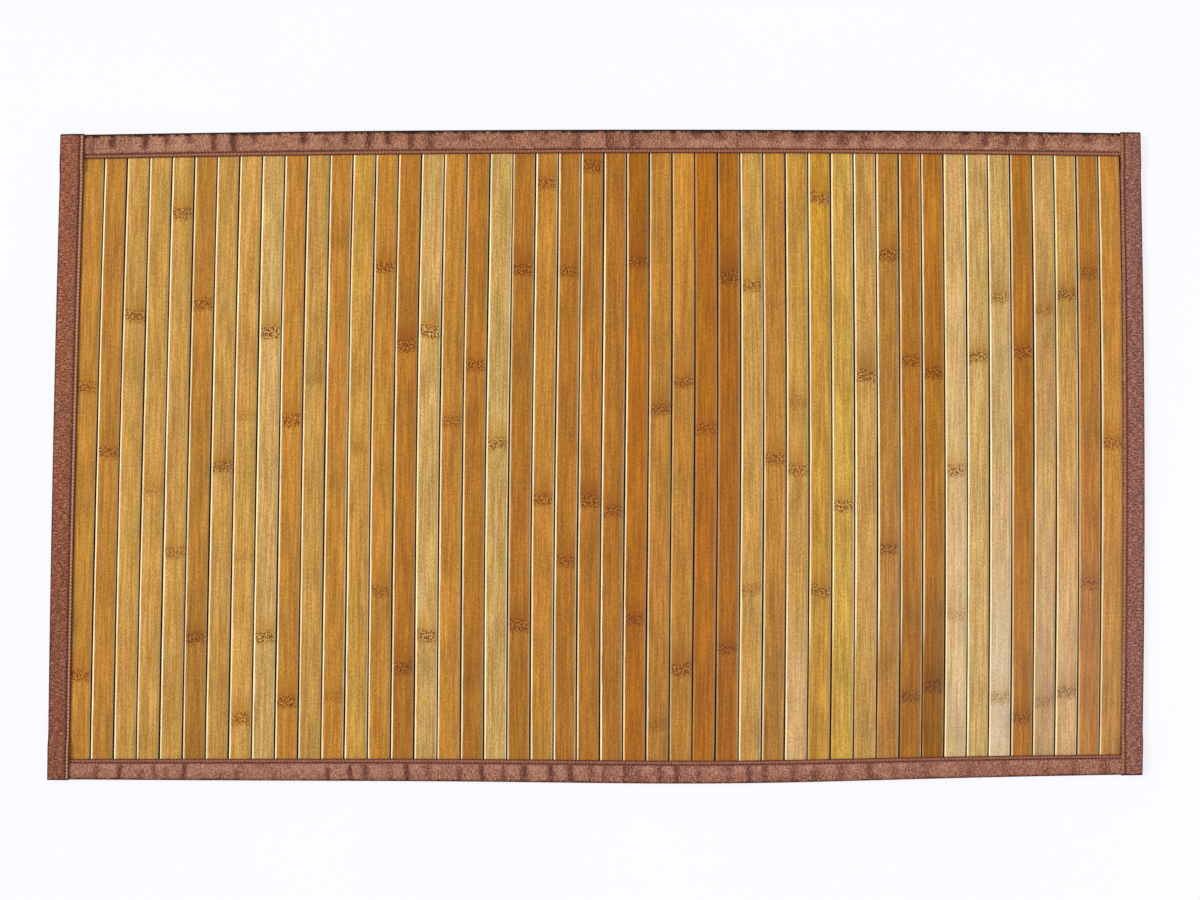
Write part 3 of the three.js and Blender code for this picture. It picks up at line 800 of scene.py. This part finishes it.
def lap_height(is_long, half_run, run, height):
    """What a tape climbs near its ends to clear the tape that it crosses."""
    from_end = half_run - np.abs(run) + (FOLD_INSET if is_long else 0)
    lap = 1 - ease(LAP_END, LAP_START, from_end)
    towards_top = np.clip((height - TAPE_THICKNESS) / (TAPE_UNDERSIDE - TAPE_THICKNESS), 0, 1)
    return LOWER_LAP * lap * (1 - towards_top) if is_long else UPPER_LAP * lap * towards_top


def half_run_of(turn):
    """Half a tape's length. The long tapes end inside the fold of the side tapes."""
    return LENGTH / 2 - FOLD_INSET if turn in LONG_TURNS else DEPTH / 2


class TapeGrid:
    """A folded tape before it is laid: a row for each step along it, a column for each point round it.
    run is the way along, across the way in and height the way up."""

    def __init__(self, name, turn, cover):
        self.name, self.turn, self.cover = name, turn, cover
        self.is_long = turn in LONG_TURNS
        self.half_run = half_run_of(turn)
        self.line = cover - STITCH_INSET
        outer, inner = fold_stations(cover)
        self.section = np.concatenate([outer, inner[::-1]])
        self.stations, self.around = len(outer), len(self.section)
        self.steps = int(2 * self.half_run / (STITCH / STEPS_A_STITCH)) + 1
        self.run = np.linspace(-self.half_run, self.half_run, self.steps)[:, None]
        self.facing = 1 if turn == 0 else -1
        self.x = self.facing * self.run
        self.across, self.height = self.section[:, 0][None, :], self.section[:, 1][None, :]
        self.is_outer = (np.arange(self.around) < self.stations)[None, :]
        self.is_top = self.is_outer & (self.height > TAPE_TOP / 2)
        near_fold = ease(FOLD_RADIUS, FOLD_RADIUS + 2, self.across)
        before_line = ease(self.line, self.line - 2, self.across)
        self.on_crown = near_fold * before_line * (self.height > TAPE_TOP / 2)
        self.on_rim = ease(self.line + 0.4, self.line + 1.2, self.across) * self.is_top
        # from 0 at each needle hole to 1 between two of them
        self.beat = np.abs(np.sin(np.pi * self.run / STITCH))
        self.full = np.ones((self.steps, self.around))


def tape_relief(grid, dusk, seed):
    """How high a tape's points lie, how high its puffs are and how deep its creases."""
    lifted = grid.height * grid.full
    if grid.is_long:
        puffs = puffs_at(grid.name, grid.x)
        lain_x = grid.x + drift_at(grid.x / (LENGTH / 2), -grid.facing)
        depth = creases_at(grid.name, lain_x, grid.across, grid.line, seed)
        depth = depth * ease(grid.line + 0.2, grid.line - 1.5, grid.across) * grid.is_outer
        # the creases' depth also sets the painted shade in them
        crease_and_dusk_shade = depth * (grid.height > CREASE_FROM)
        lifted = lifted + puffs * grid.on_crown - CREASE_DEPTH * depth * grid.on_crown
    else:
        puffs = 0 * grid.run
        size, wave = SIDE_WAVES
        lifted = lifted + size * noise_1d(grid.run, wave, seed) * grid.on_crown * grid.is_top
        # a side tape's painted shade grows towards the front
        to_front = grid.run if grid.turn == 3 else -grid.run
        crease_and_dusk_shade = dusk * ease(DUSK_FROM, DUSK_TO, to_front) * grid.full
    size, wave = ALL_WAVES
    lifted = lifted + size * noise_1d(grid.run, wave, seed + 1) * grid.on_crown * grid.is_top
    in_groove = np.exp(-(((grid.across - grid.line) / 0.6) ** 2)) * grid.is_top
    lifted = lifted - HOLE_DEPTH * in_groove * (1 - grid.beat)
    lifted = lifted + RIM_PUFF * (grid.beat - 0.5) * grid.on_rim
    lifted = lifted + lap_height(grid.is_long, grid.half_run, grid.run, grid.height * grid.full)
    return lifted, puffs, crease_and_dusk_shade


def tape_inwards(grid, covers):
    """How far in a tape's points lie: its cover changes, and its rim swings."""
    share = (grid.run + grid.half_run) / (2 * grid.half_run)
    stretch = (cover_at(covers, share) - FOLD_RADIUS) / (grid.cover - FOLD_RADIUS)
    stretched = FOLD_RADIUS + (grid.across - FOLD_RADIUS) * stretch
    swing = (LONG_RIM_SWING if grid.is_long else SIDE_RIM_SWING) * (grid.beat - 0.5)
    at_end = ease(grid.line + 1, grid.cover, grid.across) * grid.is_top
    return np.where(grid.across > FOLD_RADIUS, stretched, grid.across * grid.full) + swing * at_end


def tape_seam_shade(grid, hem_shade):
    """Where painted shade darkens the cloth: in the groove, as a painted shadow along its inner edge, and
    between the beads.
    """
    in_stitches = np.exp(-(((grid.across - grid.line) / 0.75) ** 2)) * grid.is_top * (1.25 - 0.65 * grid.beat)
    at_hem = ease(grid.cover - 1.0, grid.cover - 0.45, grid.across) * grid.is_outer * hem_shade
    between_beads = grid.on_rim * (1 - grid.beat) * (0.7 if grid.is_long else 0.35)
    return np.maximum.reduce([in_stitches, at_hem * grid.full, between_beads])


def tape_edge_shade(grid, outline, seed):
    """The ragged painted shade on the fold's upper round and at the side tapes' cut ends, a dark line round
    the mat.
    """
    ragged = 1 + 0.35 * noise_1d(grid.run, 2.3, seed + 2) + 0.1 * noise_1d(grid.run, 14.0, seed + 3)
    edge = grid.is_outer * ease(outline * ragged + 0.5, outline * ragged - 0.3, grid.across)
    edge = edge * (0.2 + 0.8 * ease(TAPE_TOP - 3.6, TAPE_TOP - 2.4, grid.height))
    if grid.is_long:
        return edge
    from_cut = grid.half_run - np.abs(grid.run)
    return np.maximum(edge, grid.is_top * ease(1.4, 0.7, from_cut))


def tape_painted_highlight(grid, puffs, crease_and_dusk_shade):
    """Where a painted highlight lightens the cloth: on its puffs, over the slats' gaps, and a little towards
    the left end.
    """
    light = puffs * 0.7 * (1 - crease_and_dusk_shade)
    if grid.is_long:
        on_inner_side = ease(grid.line * 0.3, grid.line * 0.7, grid.across)
        light = light + gleams_at(grid.name, grid.x) * on_inner_side
        light = light + 0.15 * np.clip(-grid.x / (LENGTH / 2), 0, 1)
    return np.clip(light * grid.on_crown * grid.is_outer, 0, 1)


def tape_faces(grid):
    """Quads between the rows, and the closed ends between the outer and inner side."""
    faces = ring_faces(grid.steps, grid.around, flip=True)
    last = (grid.steps - 1) * grid.around
    for i in range(grid.stations - 1):
        cap = [i, i + 1, grid.around - 2 - i, grid.around - 1 - i]
        faces += [cap, [last + corner for corner in reversed(cap)]]
    return faces


def make_tape(name, row, seed):
    grid = TapeGrid(name, row["turn"], row["cover"][1])
    lifted, puffs, crease_and_dusk_shade = tape_relief(grid, row["dusk"], seed)
    points = turned(grid.run * grid.full, tape_inwards(grid, row["cover"]), lifted, grid.turn)
    lengths = np.linalg.norm(np.diff(grid.section, axis=0), axis=1)
    path = np.concatenate([[0], np.cumsum(lengths)])[None, :]
    # the rim's beads get a painted highlight, strongest between the needle holes
    bead_highlight = ease(grid.cover - 0.3, grid.cover - 1.1, grid.across) * (0.3 + 0.7 * grid.beat)
    facts = {
        "weave": rows_of(grid.full, grid.run, path, 0),
        "crease_and_dusk_shade": crease_and_dusk_shade,
        "seam_shade": tape_seam_shade(grid, row["hem_shade"]),
        "light": tape_painted_highlight(grid, puffs, crease_and_dusk_shade),
        "rim": grid.on_rim * bead_highlight,
        "edge": tape_edge_shade(grid, row["outline"], seed),
    }
    # each tape's colours paint how the light falls on it; all four are one cloth
    material = tape_material(name, row["colours"])
    return make_piece(f"{name}_cloth", points, tape_faces(grid), facts, material, "edge_tape", name)


def stitch_row(turn, cover, holes, side, arch):
    """The threads of one row of stitches, as rings of points."""
    half_run = half_run_of(turn)
    angles = np.arange(THREAD_SIDES) * 2 * np.pi / THREAD_SIDES
    run = (holes[:, None] + np.array(THREAD_PLACES)[None, :] * STITCH)[:, :, None]
    level = TAPE_TOP - UPPER_SINK if side > 0 else THREAD_RADIUS + LOWER_RISE
    middle = (level + np.array(arch))[None, :, None]
    climb = lap_height(turn in LONG_TURNS, half_run, run, TAPE_TOP if side > 0 else 0.0)
    line = cover_at(cover, (run + half_run) / (2 * half_run)) - STITCH_INSET
    radius = THREAD_RADIUS * np.array(THREAD_WIDTHS)[None, :, None]
    swing = radius * np.cos(angles)[None, None, :]
    rise = radius * np.sin(angles)[None, None, :]
    points = turned(run + 0 * swing, line + swing, middle + climb + rise, turn)
    round_share = (np.arange(THREAD_SIDES) / THREAD_SIDES)[None, None, :]
    weave = np.stack(np.broadcast_arrays(run, round_share, float(side)), -1)
    return points.reshape(-1, 3), weave.reshape(-1, 3)


def make_stitches(name, turn, cover, material):
    """The threads along a tape's stitch line, on its upper and its under side."""
    reach = half_run_of(turn) - (LONG_ROW_HIDDEN if turn in LONG_TURNS else SIDE_ROW_HIDDEN)
    holes = np.arange(int(np.ceil(-reach / STITCH)), int(np.floor(reach / STITCH))) * STITCH
    rows = [stitch_row(turn, cover, holes, *side) for side in ((1, UPPER_ARCH), (-1, LOWER_ARCH))]
    points = np.concatenate([row[0] for row in rows])
    facts = {"weave": np.concatenate([row[1] for row in rows])}
    rings = len(THREAD_PLACES)
    quads = np.array(ring_faces(rings, THREAD_SIDES))
    thread_points = rings * THREAD_SIDES
    ends = [list(range(THREAD_SIDES - 1, -1, -1)), list(range(thread_points - THREAD_SIDES, thread_points))]
    faces = []
    for base in range(0, len(points), thread_points):
        faces += (quads + base).tolist()
        faces += [[base + corner for corner in end] for end in ends]
    short = name.replace("_tape", "")
    return make_piece(f"stitches_{short}", points, faces, facts, material, "thread")


def graded(places, counts):
    """Lines from place to place, with the given number of cells between each two."""
    parts = [np.linspace(*ends, count + 1)[1:] for *ends, count in zip(places, places[1:], counts)]
    return np.concatenate([places[:1], *parts])


def backing_grid():
    """A grid of lines, two of which bend to follow the snips, and the cells to keep."""
    half_x, half_y = LENGTH / 2 - FOLD_INSET, DEPTH / 2 - FOLD_INSET
    snip_x = LENGTH / 2 - NOTCH_REACH
    front, back = TAPES["front_tape"]["cover"], TAPES["back_tape"]["cover"]
    snips_y = {
        (1, 1): DEPTH / 2 - back[0] - NOTCH_MARGIN, (-1, 1): DEPTH / 2 - back[2] - NOTCH_MARGIN,
        (-1, -1): -DEPTH / 2 + front[0] + NOTCH_MARGIN, (1, -1): -DEPTH / 2 + front[2] + NOTCH_MARGIN,
    }
    inner_low, inner_high = -DEPTH / 2 + SNIP_FRONT, DEPTH / 2 - SNIP_BACK
    xs = graded((-half_x, -snip_x, snip_x, half_x), (CORNER_COLUMNS, MIDDLE_COLUMNS, CORNER_COLUMNS))
    ys = graded((-half_y, inner_low, inner_high, half_y), (CORNER_ROWS, MIDDLE_ROWS, CORNER_ROWS))
    low_row, high_row = CORNER_ROWS, CORNER_ROWS + MIDDLE_ROWS
    grid_x, grid_y = np.meshgrid(xs, ys)
    for (side_x, side_y), snip_y in snips_y.items():
        columns = (grid_x * side_x) >= snip_x - 0.01
        row = high_row if side_y > 0 else low_row
        grid_y[row] = np.where(columns[row], snip_y, grid_y[row])
    keep = np.ones((len(ys) - 1, len(xs) - 1), bool)
    for rows_cut in (slice(0, low_row), slice(high_row, None)):
        keep[rows_cut, :CORNER_COLUMNS] = False
        keep[rows_cut, -CORNER_COLUMNS:] = False
    return grid_x, grid_y, keep


def sheet_faces(keep):
    """The upper and under faces of a sheet's kept cells, and the rim between them."""
    rows, columns = keep.shape[0] + 1, keep.shape[1] + 1
    index = np.arange(rows * columns).reshape(rows, columns)
    under = rows * columns
    padded = np.pad(keep, 1)
    faces, rim = [], []
    for r, c in zip(*np.nonzero(keep)):
        corners = [index[r, c], index[r, c + 1], index[r + 1, c + 1], index[r + 1, c]]
        faces.append(corners)
        faces.append([under + corner for corner in reversed(corners)])
        neighbours = [padded[r, c + 1], padded[r + 1, c + 2], padded[r + 2, c + 1], padded[r + 1, c]]
        for k, has_neighbour in enumerate(neighbours):
            if not has_neighbour:
                a, b = corners[k], corners[(k + 1) % 4]
                rim.append([b, a, under + a, under + b])
    return faces + rim


def make_backing():
    """A sheet with its four corners snipped off, with a slight ripple."""
    grid_x, grid_y, keep = backing_grid()
    faces = sheet_faces(keep)
    ripple = RIPPLE * np.sin(grid_x / 21 + 1.2 * np.sin(grid_y / 34)) * np.sin(grid_y / 27)
    base = BACKING_BASE + ripple
    top = lie(grid_x, grid_y, base + BACKING_THICKNESS).reshape(-1, 3)
    bottom = lie(grid_x, grid_y, base).reshape(-1, 3)
    points = np.concatenate([top, bottom])
    used = np.unique(np.concatenate([np.ravel(face) for face in faces]))
    renumber = np.full(len(points), -1)
    renumber[used] = np.arange(len(used))
    faces = [[int(renumber[corner]) for corner in face] for face in faces]
    weave = rows_of(np.ones(grid_x.shape), grid_x, grid_y, 0)
    facts = {"weave": np.concatenate([weave, weave])[used]}
    material = backing_material()
    return make_piece("backing_sheet", points[used], faces, facts, material, "backing_cloth", "backing")


def make_camera():
    """The photograph's view, almost straight down. Its place is in metres."""
    camera = make_object("camera", bpy.data.cameras.new("camera"))
    camera.data.lens = 50
    camera.data.sensor_width = 36
    camera.data.sensor_fit = "HORIZONTAL"
    camera.location = (-0.00905, -0.04409, 1.30743)
    camera.rotation_euler = np.radians((2.094, -0.413, -0.189))
    camera.data.clip_start, camera.data.clip_end = 0.01, 50
    bpy.context.scene.camera = camera


def make_lamp(name, kind, energy, place, look_at, **settings):
    lamp = make_object(name, bpy.data.lights.new(name, kind))
    lamp.data.energy = energy
    for key, value in settings.items():
        setattr(lamp.data, key, value)
    lamp.location = place
    direction = np.array(look_at, float) - np.array(place, float)
    lamp.rotation_euler = Vector(direction).to_track_quat("-Z", "Y").to_euler()
    return lamp


def floor_material():
    """Near-white paper that glows, so that the mat leaves only a faint shadow on it."""
    n = Nodes("floor_paper")
    place = n.add("ShaderNodeNewGeometry").outputs["Position"]
    tone = n.noise(place, 3.0, 2.0)
    colour = n.mix(tone, (0.16, 0.16, 0.16, 1), (0.18, 0.18, 0.18, 1))
    glow = {"Emission Color": (0.91, 0.9, 0.94, 1), "Emission Strength": 0.882}
    return n.finish(colour, 0.9, glow | {"Specular IOR Level": 0.0})


def make_floor():
    corners = [(x * FLOOR_HALF, y * FLOOR_HALF, 0) for x, y in ((-1, -1), (1, -1), (1, 1), (-1, 1))]
    mesh = bpy.data.meshes.new("floor")
    mesh.from_pydata(corners, [], [(0, 1, 2, 3)])
    mesh.materials.append(floor_material())
    make_object("floor", mesh)


def make_light():
    """A bright even sky, a soft sun from the left and a lamp that only glosses the slats."""
    world = bpy.data.worlds.new("sky")
    world.use_nodes = True
    background = world.node_tree.nodes["Background"]
    background.inputs["Color"].default_value = (1.0, 1.0, 1.0, 1)
    background.inputs["Strength"].default_value = 0.6
    bpy.context.scene.world = world
    make_lamp("sun", "SUN", 2.0, (-1.5, 0.25, 1.4), (0, 0, 0), angle=0.35)
    gloss = make_lamp("gloss_lamp", "AREA", 12.2, (0.77, -0.27, 1.5), (0.35, -0.12, 0),
                      shape="RECTANGLE", size=0.35, size_y=0.5)
    gloss.visible_diffuse = False
    view = bpy.context.scene.view_settings
    view.view_transform = "Standard"
    view.look = "None"
    view.exposure = 0.0


make_camera()
make_slats()
backing = make_backing()
thread = thread_material()
for place, (name, row) in enumerate(TAPES.items()):
    cloth = make_tape(name, row, 10 * place + 40)
    stitches = make_stitches(name, row["turn"], row["cover"], thread)
make_floor()
make_light()
